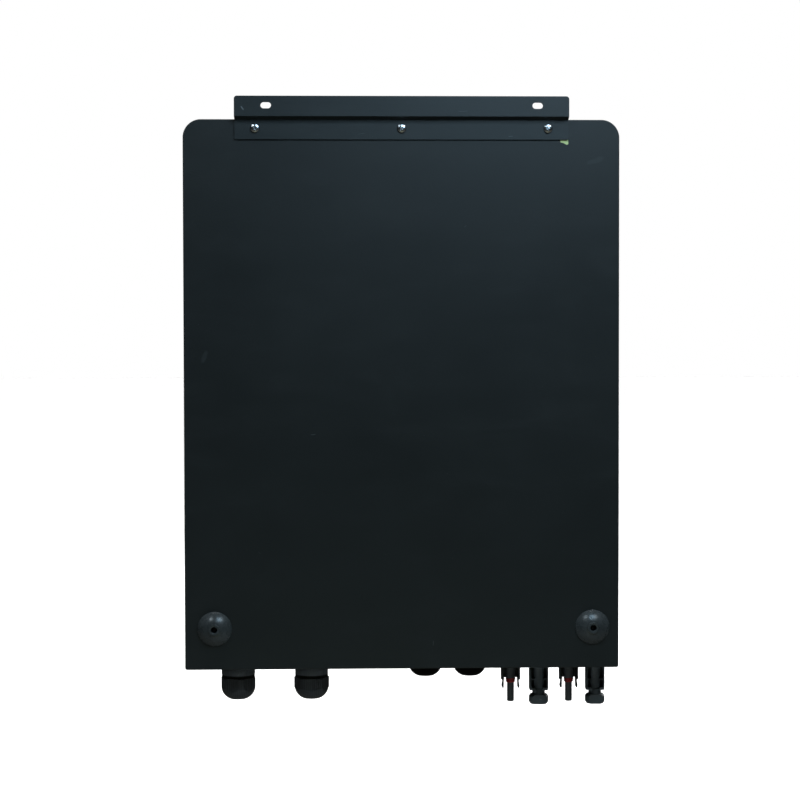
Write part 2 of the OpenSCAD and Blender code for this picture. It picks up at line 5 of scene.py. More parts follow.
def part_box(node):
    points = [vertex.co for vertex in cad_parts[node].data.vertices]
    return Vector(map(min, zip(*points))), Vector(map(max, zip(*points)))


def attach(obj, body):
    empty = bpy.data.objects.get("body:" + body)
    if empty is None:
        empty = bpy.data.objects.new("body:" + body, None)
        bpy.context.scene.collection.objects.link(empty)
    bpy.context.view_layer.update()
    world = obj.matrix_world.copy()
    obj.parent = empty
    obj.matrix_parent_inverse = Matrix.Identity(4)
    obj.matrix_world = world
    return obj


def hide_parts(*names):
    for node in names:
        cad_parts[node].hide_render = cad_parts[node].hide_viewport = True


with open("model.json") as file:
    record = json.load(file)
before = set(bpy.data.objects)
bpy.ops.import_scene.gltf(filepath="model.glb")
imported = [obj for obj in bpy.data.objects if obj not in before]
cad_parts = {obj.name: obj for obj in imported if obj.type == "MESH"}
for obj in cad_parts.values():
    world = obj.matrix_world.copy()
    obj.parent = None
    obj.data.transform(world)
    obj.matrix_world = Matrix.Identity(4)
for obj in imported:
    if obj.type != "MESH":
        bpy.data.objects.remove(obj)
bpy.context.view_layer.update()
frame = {"nodes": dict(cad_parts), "record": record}
N = frame["nodes"]
scene = bpy.context.scene
coll = scene.collection
TAU = 2 * math.pi


# ------------------------------------------------------------------ camera
def make_camera():
    yaw, pitch, roll = math.radians(-1.688), math.radians(-1.640), math.radians(0.095)
    m = Matrix.Rotation(yaw, 3, "Z") @ Matrix.Rotation(pitch, 3, "X") @ Matrix.Rotation(roll, 3, "Y")
    right, fwd, up = m.col[0], m.col[1], m.col[2]
    cam = bpy.data.cameras.new("camera")
    cam.sensor_width = 36.0
    cam.lens = 36.0 * 1859.0 / 800.0
    cam.clip_start, cam.clip_end = 0.05, 60.0
    o = bpy.data.objects.new("camera", cam)
    coll.objects.link(o)
    r = Matrix((right, up, -fwd)).transposed()
    o.matrix_world = Matrix.Translation(Vector((-0.05655, -1.8367, -0.2375))) @ r.to_4x4()
    scene.camera = o


make_camera()

# ------------------------------------------------------------------ materials
class Mat:
    """A small helper that builds one procedural material node by node."""

    def __init__(self, name):
        self.m = bpy.data.materials.new(name)
        self.m.use_nodes = True
        self.t = self.m.node_tree
        self.t.nodes.clear()
        self.out = self.t.nodes.new("ShaderNodeOutputMaterial")
        self.b = self.t.nodes.new("ShaderNodeBsdfPrincipled")
        self.t.links.new(self.b.outputs[0], self.out.inputs[0])
        self.tc = self.t.nodes.new("ShaderNodeTexCoord")
        self.bump_h = None

    def link(self, a, b):
        self.t.links.new(a, b)

    def set(self, **kw):
        names = {"rough": "Roughness", "metal": "Metallic", "spec": "Specular IOR Level", "ior": "IOR", "coat": "Coat Weight",
                 "coat_rough": "Coat Roughness", "sheen": "Sheen Weight", "alpha": "Alpha", "trans": "Transmission Weight",
                 "sss": "Subsurface Weight", "aniso": "Anisotropic"}
        for k, v in kw.items():
            if k == "color":
                self.b.inputs["Base Color"].default_value = (*v, 1)
            else:
                self.b.inputs[names[k]].default_value = v
        return self

    def coords(self, scale=(1, 1, 1), rot=(0, 0, 0)):
        n = self.t.nodes.new("ShaderNodeMapping")
        n.inputs["Scale"].default_value = scale
        n.inputs["Rotation"].default_value = rot
        self.link(self.tc.outputs["Object"], n.inputs[0])
        return n.outputs[0]

    def noise(self, scale, detail=3.0, rough=0.5, vec=None, distortion=0.0):
        n = self.t.nodes.new("ShaderNodeTexNoise")
        n.inputs["Scale"].default_value = scale
        n.inputs["Detail"].default_value = detail
        n.inputs["Roughness"].default_value = rough
        n.inputs["Distortion"].default_value = distortion
        self.link(vec if vec is not None else self.tc.outputs["Object"], n.inputs["Vector"])
        return n.outputs["Fac"]

    def voronoi(self, scale, feature="F1", vec=None, rand=1.0):
        n = self.t.nodes.new("ShaderNodeTexVoronoi")
        n.feature = feature
        n.inputs["Scale"].default_value = scale
        n.inputs["Randomness"].default_value = rand
        self.link(vec if vec is not None else self.tc.outputs["Object"], n.inputs["Vector"])
        return n.outputs["Distance"]

    def ramp(self, fac, stops):
        n = self.t.nodes.new("ShaderNodeValToRGB")
        els = n.color_ramp.elements
        while len(els) > 1:
            els.remove(els[-1])
        for i, (p, c) in enumerate(stops):
            e = els[0] if i == 0 else els.new(p)
            e.position = p
            e.color = (c, c, c, 1) if not hasattr(c, "__len__") else (*c, 1)
        self.link(fac, n.inputs[0])
        return n.outputs[0]

    def math(self, op, a, b=None, clamp=False):
        n = self.t.nodes.new("ShaderNodeMath")
        n.operation = op
        n.use_clamp = clamp
        for i, v in enumerate((a, b)):
            if v is None:
                continue
            if isinstance(v, (int, float)):
                n.inputs[i].default_value = v
            else:
                self.link(v, n.inputs[i])
        return n.outputs[0]

    def range(self, v, a, b, c, d):
        n = self.t.nodes.new("ShaderNodeMapRange")
        for i, x in enumerate((a, b, c, d)):
            n.inputs[i + 1].default_value = x
        self.link(v, n.inputs[0])
        return n.outputs[0]

    def mix(self, fac, a, b, mode="MIX"):
        n = self.t.nodes.new("ShaderNodeMix")
        n.data_type = "RGBA"
        n.blend_type = mode
        for sock, v in ((n.inputs[0], fac), (n.inputs[6], a), (n.inputs[7], b)):
            if isinstance(v, (int, float)):
                sock.default_value = v
            elif isinstance(v, tuple):
                sock.default_value = (*v, 1) if len(v) == 3 else v
            else:
                self.link(v, sock)
        return n.outputs[2]

    def color(self, v):
        self.link(v, self.b.inputs["Base Color"])
        return self

    def rough(self, v):
        self.link(v, self.b.inputs["Roughness"])
        return self

    def bump(self, height, strength, distance):
        n = self.t.nodes.new("ShaderNodeBump")
        n.inputs["Strength"].default_value = strength
        n.inputs["Distance"].default_value = distance
        self.link(height, n.inputs["Height"])
        if self.bump_h is not None:
            self.link(self.bump_h, n.inputs["Normal"])
        self.bump_h = n.outputs[0]
        self.link(self.bump_h, self.b.inputs["Normal"])
        return self


def powder_coat(name, base, dust, rough=(0.40, 0.50), grain=1.0, wipe=0.0, spec=0.45, marks=()):
    """Satin powder coat: orange peel, fine grain, cloudy tone, faint smears, pale specks, and thin scratches at given places."""
    m = Mat(name)
    cloud = m.noise(7.0, 4, 0.55)
    fine = m.noise(1500.0, 2, 0.5)
    smear = m.noise(22.0, 5, 0.62, vec=m.coords((0.5, 1.0, 1.6), (0, 0.45, 0)), distortion=0.8)
    tone = m.mix(m.ramp(cloud, [(0.3, 0.0), (0.75, 1.0)]), base, tuple(c * 1.16 for c in base))
    tone = m.mix(m.ramp(smear, [(0.54, 0.0), (0.80, 0.14)]), tone, dust)
    # grain of the coat: light and dark flecks under a millimetre across
    fleck = m.ramp(m.noise(720.0, 2, 0.6), [(0.30, 0.0), (0.70, 1.0)])
    tone = m.mix(m.math("MULTIPLY", fleck, 0.22), tone, tuple(c * 1.9 for c in base))
    # sparse pale dust specks: cells of a Voronoi pattern, thinned by a coarser mask
    spot = m.ramp(m.voronoi(150.0), [(0.0, 1.0), (0.05, 1.0), (0.08, 0.0)])
    thin = m.ramp(m.noise(61.0, 1, 0.5), [(0.63, 0.0), (0.67, 1.0)])
    tone = m.mix(m.math("MULTIPLY", m.math("MULTIPLY", spot, thin), 0.30), tone, tuple(c * 2.2 for c in dust))
    rough_v = m.range(m.math("ADD", m.math("MULTIPLY", cloud, 0.45), m.math("MULTIPLY", smear, 0.55)), 0.3, 0.7, rough[0], rough[1])
    if marks:
        sep = m.t.nodes.new("ShaderNodeSeparateXYZ")
        m.link(m.tc.outputs["Object"], sep.inputs[0])
        wob = m.math("MULTIPLY", m.math("SUBTRACT", m.noise(90.0, 2, 0.5), 0.5), 0.003)
        total = None
        for (x, z, length, width, angle, amount) in marks:
            ca, sa = math.cos(angle), math.sin(angle)
            dx = m.math("SUBTRACT", sep.outputs[0], x)
            dz = m.math("SUBTRACT", sep.outputs[2], z)
            along = m.math("ADD", m.math("MULTIPLY", dx, ca), m.math("MULTIPLY", dz, sa))
            across = m.math("ADD", m.math("SUBTRACT", m.math("MULTIPLY", dz, ca), m.math("MULTIPLY", dx, sa)), wob)
            u = m.math("DIVIDE", along, length / 2)
            v = m.math("DIVIDE", across, width / 2)
            q = m.math("ADD", m.math("POWER", m.math("ABSOLUTE", u), 4.0), m.math("MULTIPLY", v, v))
            k = m.math("MULTIPLY", m.range(q, 0.2, 1.0, 1.0, 0.0), amount)
            total = k if total is None else m.math("MAXIMUM", total, k)
        tone = m.mix(total, tone, tuple(c * 5 for c in dust))
    m.color(tone)
    m.rough(rough_v)
    m.set(spec=spec)
    m.bump(m.noise(420.0, 2, 0.5), 0.10 * grain, 0.0004)
    m.bump(fine, 0.18 * grain, 0.00012)
    if wipe:
        m.bump(m.noise(60.0, 3, 0.6, vec=m.coords((0.25, 1, 6))), wipe, 0.0004)
    return m.m


def plastic(name, base, rough=0.38, fine=900.0, bump=0.12, spec=0.5, vary=0.25, coat=0.0):
    m = Mat(name)
    n1 = m.noise(35.0, 4, 0.6)
    n2 = m.noise(fine, 2, 0.5)
    m.color(m.mix(m.ramp(n1, [(0.25, 0.0), (0.8, 1.0)]), tuple(c * (1 - vary) for c in base), tuple(min(1, c * (1 + vary)) for c in base)))
    m.rough(m.range(m.noise(90.0, 3, 0.6), 0.3, 0.7, max(0.03, rough - 0.07), rough + 0.08))
    m.set(spec=spec, coat=coat)
    m.bump(n2, bump, 0.00015)
    return m.m


def metal(name, base, rough=0.28, streak=(1, 1, 1), fine=500.0, bump=0.1, tarnish=0.5):
    m = Mat(name)
    v = m.coords(streak)
    n1 = m.noise(fine, 3, 0.6, vec=v)
    n2 = m.noise(28.0, 4, 0.6)
    m.color(m.mix(m.ramp(n2, [(0.35, 0.0), (0.75, 1.0)]), base, tuple(c * (1 - 0.35 * tarnish) for c in base)))
    m.rough(m.range(m.math("ADD", m.math("MULTIPLY", n1, 0.6), m.math("MULTIPLY", n2, 0.4)), 0.3, 0.7, rough * 0.75, rough * 1.35))
    m.set(metal=1.0)
    m.bump(n1, bump, 0.0001)
    return m.m


def rubber(name, base, rough=0.35, spec=0.5, bump=0.15):
    m = Mat(name)
    n = m.noise(55.0, 5, 0.65)
    m.color(m.mix(m.ramp(n, [(0.3, 0.0), (0.8, 1.0)]), base, tuple(c * 1.5 + 0.002 for c in base)))
    m.rough(m.range(m.noise(140.0, 4, 0.65), 0.3, 0.7, rough * 0.8, rough * 1.35))
    m.set(spec=spec)
    m.bump(m.noise(260.0, 4, 0.6), bump, 0.0005)
    return m.m


def moulded_black(name, base, rough, spec, band=None, ribs=None):
    """Black nylon with mould marks. band is the height range of a rubber washer that is part of the piece; ribs is the
    centre and number of grip ribs round an upright axis, whose grooves get painted shade in the colour as well as a
    bump."""
    m = Mat(name)
    n1 = m.noise(42.0, 4, 0.6)
    c = m.mix(m.ramp(n1, [(0.3, 0.0), (0.75, 1.0)]), tuple(v * 0.85 for v in base), tuple(v * 1.35 for v in base))
    nick = m.ramp(m.noise(210.0, 3, 0.7), [(0.66, 0.0), (0.74, 1.0)])
    c = m.mix(m.math("MULTIPLY", nick, 0.22), c, tuple(min(1, v * 6) for v in base))
    r = m.range(m.noise(85.0, 3, 0.6), 0.3, 0.7, rough - 0.06, rough + 0.09)
    if ribs:
        sr = m.t.nodes.new("ShaderNodeSeparateXYZ")
        m.link(m.tc.outputs["Object"], sr.inputs[0])
        turn = m.math("ARCTAN2", m.math("SUBTRACT", sr.outputs[1], ribs[1]), m.math("SUBTRACT", sr.outputs[0], ribs[0]))
        wave = m.math("SINE", m.math("MULTIPLY", turn, float(ribs[2])))
        # painted shade: the colour is darkened in the grooves between the grip ribs, on top of the bump below
        c = m.mix(m.range(wave, -1.0, 0.6, 0.62, 0.0), c, tuple(v * 0.25 for v in base))
        m.bump(wave, 0.35, 0.0003)
    if band:
        sep = m.t.nodes.new("ShaderNodeSeparateXYZ")
        m.link(m.tc.outputs["Object"], sep.inputs[0])
        lo = m.range(sep.outputs[2], band[0] - 0.0001, band[0] + 0.0001, 0.0, 1.0)
        hi = m.range(sep.outputs[2], band[1] - 0.0001, band[1] + 0.0001, 1.0, 0.0)
        k = m.math("MULTIPLY", lo, hi)
        c = m.mix(k, c, (0.0006, 0.0006, 0.0007))
        r = m.range(k, 0.0, 1.0, rough, 0.85)
    m.color(c).rough(r)
    m.set(spec=spec)
    m.bump(m.noise(640.0, 2, 0.5), 0.14, 0.00015)
    return m.m


def board(name):
    m = Mat(name)
    tracks = m.ramp(m.noise(95.0, 1, 0.3, vec=m.coords((0.25, 1, 1))), [(0.47, 0.0), (0.5, 1.0), (0.56, 1.0), (0.59, 0.0)])
    pads = m.ramp(m.voronoi(130.0, vec=m.coords((1, 0.001, 1)), rand=0.35), [(0.0, 1.0), (0.16, 1.0), (0.2, 0.0)])
    c = m.mix(tracks, (0.006, 0.06, 0.028), (0.014, 0.13, 0.055))
    c = m.mix(m.math("MULTIPLY", pads, 0.85), c, (0.55, 0.55, 0.52))
    m.color(c).rough(m.range(pads, 0, 1, 0.32, 0.22))
    m.bump(tracks, 0.3, 0.0002)
    return m.m


def glass(name):
    m = Mat(name)
    m.color(m.mix(m.noise(60.0, 4, 0.6), (0.75, 0.82, 0.84), (0.9, 0.94, 0.95)))
    m.rough(m.range(m.noise(45.0, 4, 0.6), 0.3, 0.75, 0.03, 0.12))
    m.set(spec=0.6, alpha=0.22)
    m.m.blend_method = "BLEND" if hasattr(m.m, "blend_method") else None
    return m.m


Z_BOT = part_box("back_plate")[0][2]
Z_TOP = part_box("back_plate")[1][2]
# thin scratches, scuffs and wiped patches of the back plate: x, z, length, width, direction, strength
PLATE_MARKS = (
    (-0.0885, -0.3245, 0.0055, 0.0009, 0.15, 0.34), (0.0310, -0.5335, 0.0060, 0.0007, 1.50, 0.30),
    (0.1925, -0.0530, 0.0200, 0.0060, 0.30, 0.07), (-0.1960, -0.2470, 0.0140, 0.0050, 1.20, 0.08),
    (0.0630, -0.1180, 0.0035, 0.0006, 0.80, 0.22), (-0.1420, -0.4420, 0.0040, 0.0006, 2.30, 0.20),
)
BRACKET_MARKS = ((-0.1573, -0.0030, 0.0048, 0.0016, -1.10, 0.50), (0.0600, -0.0050, 0.0110, 0.0005, 0.05, 0.22),
                 (-0.0400, -0.0270, 0.0080, 0.0005, 0.1, 0.20), (0.1080, -0.0290, 0.0050, 0.0010, 0.0, 0.20))

M = {
    "case_paint": powder_coat("case_paint_mat", (0.0088, 0.0112, 0.0116), (0.030, 0.034, 0.036)),
    "plate_paint": powder_coat("plate_paint_mat", (0.0088, 0.0112, 0.0116), (0.030, 0.034, 0.036), marks=PLATE_MARKS),
    "bracket_paint": powder_coat("bracket_paint_mat", (0.0120, 0.0160, 0.0172), (0.045, 0.052, 0.056), rough=(0.36, 0.5), wipe=0.05,
                                 marks=BRACKET_MARKS),
    "zinc_steel": metal("zinc_steel_mat", (0.66, 0.67, 0.69), 0.2, fine=700.0),
    "black_screw": metal("black_screw_mat", (0.05, 0.05, 0.055), 0.34, fine=700.0),
    "foot_rubber": rubber("foot_rubber_mat", (0.0290, 0.0340, 0.0355), 0.25, 0.45, 0.04),
    "gland_nylon": moulded_black("gland_nylon_mat", (0.050, 0.061, 0.071), 0.50, 0.5),
    "gland_large": moulded_black("gland_large_mat", (0.047, 0.055, 0.063), 0.50, 0.5, band=(Z_BOT - 0.0144, Z_BOT - 0.0113)),
    # painted shade: the battery glands are the same nylon as the large ones, and this near-black copy paints the shade
    # they sit in under the case
    "gland_painted_shade": moulded_black("gland_painted_shade_mat", (0.0010, 0.0010, 0.0010), 0.60, 0.08, band=(Z_BOT - 0.0054, Z_BOT - 0.0043)),
    "seal_rubber": rubber("seal_rubber_mat", (0.012, 0.012, 0.012), 0.5),
    "pv_plastic": moulded_black("pv_plastic_mat", (0.058, 0.070, 0.079), 0.46, 0.5),
    "pv_tube_plastic": moulded_black("pv_tube_plastic_mat", (0.031, 0.035, 0.039), 0.46, 0.5),
    "seal_red": rubber("seal_red_mat", (0.16, 0.010, 0.011), 0.42, 0.35),
    "contact_metal": metal("contact_metal_mat", (0.72, 0.71, 0.66), 0.22),
    "lead_insulation": plastic("lead_insulation_mat", (0.02, 0.02, 0.021), 0.45, 400.0, 0.1),
    "bezel_plastic": plastic("bezel_plastic_mat", (0.007, 0.007, 0.008), 0.16, 1200.0, 0.03, coat=0.3),
    "display_glass": glass("display_glass_mat"),
    "lcd_glass": plastic("lcd_glass_mat", (0.10, 0.135, 0.11), 0.3, 500.0, 0.03, vary=0.08),
    "button_plastic": rubber("button_plastic_mat", (0.055, 0.058, 0.062), 0.5),
    "film": plastic("film_mat", (0.62, 0.72, 0.30), 0.4, 700.0, 0.08, vary=0.12),
    "lens_plastic": plastic("lens_plastic_mat", (0.55, 0.55, 0.50), 0.14, 800.0, 0.03, vary=0.1),
    "circuit_board": board("circuit_board_mat"),
    "aluminium_bare": metal("aluminium_bare_mat", (0.62, 0.63, 0.64), 0.34, streak=(0.04, 1, 1), fine=900.0),
    "package_black": plastic("package_black_mat", (0.014, 0.014, 0.014), 0.5, 1500.0, 0.2),
    "capacitor_sleeve": plastic("capacitor_sleeve_mat", (0.012, 0.016, 0.06), 0.25, 300.0, 0.05),
    "copper_wire": metal("copper_wire_mat", (0.55, 0.22, 0.08), 0.3, fine=300.0),
    "copper_bar": metal("copper_bar_mat", (0.75, 0.36, 0.2), 0.25, streak=(1, 0.05, 1)),
    "ferrite": plastic("ferrite_mat", (0.022, 0.022, 0.024), 0.45, 900.0, 0.3),
    "relay_case": plastic("relay_case_mat", (0.5, 0.52, 0.47), 0.35),
    "terminal_plastic": plastic("terminal_plastic_mat", (0.014, 0.014, 0.015), 0.4),
    "terminal_green": plastic("terminal_green_mat", (0.015, 0.14, 0.05), 0.4),
    "galvanised": metal("galvanised_mat", (0.5, 0.52, 0.54), 0.35, fine=60.0, bump=0.2),
    "brass_spacer": metal("brass_spacer_mat", (0.66, 0.46, 0.17), 0.25),
    "fan_plastic": plastic("fan_plastic_mat", (0.011, 0.011, 0.012), 0.4),
    "switch_plastic": plastic("switch_plastic_mat", (0.008, 0.008, 0.009), 0.25, 900.0, 0.08),
}
NODE_SLOT = {s["node"]: s["material_slot"] for s in frame["record"]["subparts"]}


def give(o, mat):
    o.data.materials.clear()
    o.data.materials.append(mat)


for name, o in N.items():
    give(o, M[NODE_SLOT[name]])
for g in ("ac_input", "ac_output"):
    give(N[g + "_gland_body"], M["gland_large"])
for g in ("pv_plug_1", "pv_plug_2"):
    give(N[g], M["pv_tube_plastic"])
for g in ("ac_input", "ac_output"):
    b_lo, b_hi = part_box(g + "_gland_nut")
    M[g + "_nut"] = moulded_black(g + "_nut_mat", (0.034, 0.038, 0.043), 0.48, 0.5,
                                  ribs=((b_lo[0] + b_hi[0]) / 2, (b_lo[1] + b_hi[1]) / 2, 52))
    give(N[g + "_gland_nut"], M[g + "_nut"])
# the battery glands get the near-black copy, which paints the shade under the case into their colour
for g in ("battery_positive", "battery_negative"):
    give(N[g + "_gland_body"], M["gland_painted_shade"])
    give(N[g + "_gland_nut"], M["gland_painted_shade"])


# ------------------------------------------------------------------ mesh helpers
def new_object(name, bm, mat, smooth=True):
    me = bpy.data.meshes.new(name)
    bmesh.ops.recalc_face_normals(bm, faces=bm.faces)
    bm.to_mesh(me)
    bm.free()
    o = bpy.data.objects.new(name, me)
    coll.objects.link(o)
    me.materials.append(mat)
    if smooth:
        for f in me.polygons:
            f.use_smooth = True
    return o


def sharpen(o, degrees):
    o.data.set_sharp_from_angle(angle=math.radians(degrees))


def lathe(bm, profile, centre, axis, segs=96, close=True):
    """Turns (radius, height) points about an axis. Points with radius 0 become poles."""
    a = Vector(axis).normalized()
    u = a.orthogonal().normalized()
    v = a.cross(u)
    rings = []
    for (r, h) in profile:
        if r < 1e-7:
            rings.append([bm.verts.new(Vector(centre) + a * h)])
        else:
            rings.append([bm.verts.new(Vector(centre) + a * h + (u * math.cos(TAU * i / segs) + v * math.sin(TAU * i / segs)) * r)
                          for i in range(segs)])
    for p, q in zip(rings, rings[1:] + ([rings[0]] if close else [])):
        if len(p) == 1 and len(q) == 1:
            continue
        for i in range(segs):
            j = (i + 1) % segs
            f = [p[i % len(p)], p[j % len(p)], q[j % len(q)], q[i % len(q)]]
            f = [x for k, x in enumerate(f) if x not in f[:k]]
            if len(f) > 2:
                bm.faces.new(f)


def arc_pts(cx, cz, r, a0, a1, n):
    return [(cx + r * math.cos(a0 + (a1 - a0) * i / n), cz + r * math.sin(a0 + (a1 - a0) * i / n)) for i in range(n + 1)]


# ------------------------------------------------------------------ back plate: one folded-edge sheet with soft corners
def back_plate_piece():
    lo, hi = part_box("back_plate")
    w = (hi[0] - lo[0]) / 2
    top_r, low_r, round_r, steps = 0.018, 0.0022, 0.00095, 5

    def outline(d):
        pts = arc_pts(-w + low_r, lo[2] + low_r, low_r - d, math.pi, 1.5 * math.pi, 6)
        pts += arc_pts(w - low_r, lo[2] + low_r, low_r - d, -0.5 * math.pi, 0, 6)
        pts += arc_pts(w - top_r, hi[2] - top_r, top_r - d, 0, 0.5 * math.pi, 28)
        pts += arc_pts(-w + top_r, hi[2] - top_r, top_r - d, 0.5 * math.pi, math.pi, 28)
        return pts

    levels = []
    for i in range(steps + 1):
        t = 0.5 * math.pi * i / steps
        levels.append((round_r * (1 - math.sin(t)), lo[1] + round_r * (1 - math.cos(t))))
    levels.append((0.0, hi[1]))
    bm = bmesh.new()
    rings = [[bm.verts.new((x, y, z)) for (x, z) in outline(d)] for (d, y) in levels]
    n = len(rings[0])
    cap_a = bm.faces.new(list(reversed(rings[0])))
    cap_b = bm.faces.new(rings[-1])
    for p, q in zip(rings, rings[1:]):
        for i in range(n):
            bm.faces.new((p[i], p[(i + 1) % n], q[(i + 1) % n], q[i]))
    bmesh.ops.recalc_face_normals(bm, faces=bm.faces)
    for cap in (cap_a, cap_b):
        for e in cap.edges:
            e.smooth = False
    o = new_object("back_plate_sheet", bm, M["plate_paint"])
    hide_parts("back_plate")
    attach(o, "case")


back_plate_piece()


# ------------------------------------------------------------------ spacer feet: glossy domes with a raised ring round the screw hole
def foot_piece(name, cx, cz, y0, y1, r0, seed):
    h = y1 - y0
    top_r, ring_r, hole_r, skirt = 0.0064, 0.0058, 0.0031, 0.0011
    # a spherical cap from the skirt up to the flat crown
    rise = h - 0.0008 - skirt
    big = (r0 * r0 + rise * rise) / (2 * rise) * 1.02
    prof = [(0.0020, 0.0036), (hole_r, 0.0036), (hole_r, h - 0.0009)]
    prof += [(hole_r + 0.0003 * (1 - math.cos(t)), h - 0.0008 + 0.0003 * math.sin(t)) for t in (0.4, 0.9, 1.4)]
    prof += [(ring_r - 0.0005 + 0.0005 * math.sin(t), h - 0.0005 - 0.0003 * (1 - math.cos(t))) for t in (0.0, 0.5, 1.0, 1.5)]
    cap = []
    ang0 = math.asin(min(0.999, r0 / big))
    for i in range(25):
        a = ang0 * i / 24
        r = big * math.sin(a)
        if r > ring_r + 0.0003:
            cap.append((r, skirt + big * (math.cos(a) - math.cos(ang0))))
    prof += [(ring_r + 0.0001, cap[0][1] + 0.00002)] + cap
    prof += [(r0, skirt * 0.6), (r0 - 0.0001, 0.0001), (r0 - 0.0003, 0.0), (0.0020, 0.0)]
    bm = bmesh.new()
    lathe(bm, prof, (cx, y1, cz), (0, -1, 0), 112)
    # small nicks and flattened spots, cut by pushing a few points of the crown inwards
    rnd = random.Random(seed)
    spots = [(cx + rnd.uniform(-1, 1) * r0 * 0.7, cz + rnd.uniform(-1, 1) * r0 * 0.7, rnd.uniform(0.0006, 0.0012)) for _ in range(9)]
    spots += [(cx + 0.0085, cz + 0.0004, 0.0011), (cx + 0.0102, cz - 0.0016, 0.0009)]
    for v in bm.verts:
        if v.co.y > y1 - 0.0025:
            continue
        for (sx, sz, sr) in spots:
            d = math.hypot(v.co.x - sx, v.co.z - sz)
            if d < sr and math.hypot(v.co.x - cx, v.co.z - cz) > ring_r + 0.0005:
                v.co.y += 0.00022 * (1 - (d / sr) ** 2)
    o = new_object(name, bm, M["foot_rubber"])
    sharpen(o, 38)
    return o


FLO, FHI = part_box("wall_feet")
FOOT_R = 0.0172
FEET = [foot_piece("spacer_foot_left", FLO[0] + FOOT_R, (FLO[2] + FHI[2]) / 2, FLO[1], FHI[1], FOOT_R, 3),
        foot_piece("spacer_foot_right", FHI[0] - FOOT_R, (FLO[2] + FHI[2]) / 2, FLO[1], FHI[1], FOOT_R, 8)]
for o in FEET:
    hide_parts("wall_feet")
    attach(o, "case")


# ------------------------------------------------------------------ a sliver of yellow-green film that peeps out under the bracket
def film_piece():
    bm = bmesh.new()
    y0, y1 = 0.00985, 0.00998
    pts = [(0.1572, -0.0325), (0.1652, -0.0322), (0.1656, -0.0366), (0.1640, -0.0374), (0.1606, -0.0356), (0.1578, -0.0349)]
    a = [bm.verts.new((x, y0, z)) for x, z in pts]
    b = [bm.verts.new((x, y1, z)) for x, z in pts]
    bm.faces.new(a)
    bm.faces.new(list(reversed(b)))
    for i in range(len(pts)):
        bm.faces.new((a[i], a[(i + 1) % len(pts)], b[(i + 1) % len(pts)], b[i]))
    o = new_object("film_sliver", bm, M["film"], smooth=False)
    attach(o, "case")


film_piece()


# ------------------------------------------------------------------ generic symbols printed on the four keys
def key_print(node, strokes):
    lo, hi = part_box(node)
    cx, cz, half = (lo[0] + hi[0]) / 2, (lo[2] + hi[2]) / 2, 0.00034
    m = Mat(node + "_mat")
    sep = m.t.nodes.new("ShaderNodeSeparateXYZ")
    m.link(m.tc.outputs["Object"], sep.inputs[0])
    nearest = None
    for (x0, z0, x1, z1) in strokes:
        dx, dz = x1 - x0, z1 - z0
        ll = dx * dx + dz * dz
        px = m.math("SUBTRACT", sep.outputs[0], cx + x0)
        pz = m.math("SUBTRACT", sep.outputs[2], cz + z0)
        t = m.math("ADD", m.math("MULTIPLY", px, dx / ll), m.math("MULTIPLY", pz, dz / ll), clamp=True)
        qx = m.math("SUBTRACT", px, m.math("MULTIPLY", t, dx))
        qz = m.math("SUBTRACT", pz, m.math("MULTIPLY", t, dz))
        d = m.math("SQRT", m.math("ADD", m.math("MULTIPLY", qx, qx), m.math("MULTIPLY", qz, qz)))
        nearest = d if nearest is None else m.math("MINIMUM", nearest, d)
    ink = m.range(nearest, half - 0.00004, half + 0.00004, 1.0, 0.0)
    base = m.mix(m.ramp(m.noise(55.0, 5, 0.65), [(0.3, 0.0), (0.8, 1.0)]), (0.055, 0.058, 0.062), (0.084, 0.089, 0.095))
    m.color(m.mix(ink, base, (0.55, 0.56, 0.56)))
    m.rough(m.range(m.noise(140.0, 4, 0.65), 0.3, 0.7, 0.40, 0.66))
    m.set(spec=0.5)
    m.bump(m.noise(260.0, 4, 0.6), 0.15, 0.0005)
    give(N[node], m.m)


Q = 0.0019
key_print("escape_button", [(-Q, -Q, Q, Q), (-Q, Q, Q, -Q)])
key_print("up_button", [(-Q, -Q * 0.6, 0, Q * 0.8), (0, Q * 0.8, Q, -Q * 0.6)])
key_print("down_button", [(-Q, Q * 0.6, 0, -Q * 0.8), (0, -Q * 0.8, Q, Q * 0.6)])
key_print("enter_button", [(-Q, Q, -Q, -Q * 0.2), (-Q, -Q * 0.2, Q, -Q * 0.2), (Q, -Q * 0.2, Q * 0.35, Q * 0.45),
                           (Q, -Q * 0.2, Q * 0.35, -Q * 0.85)])

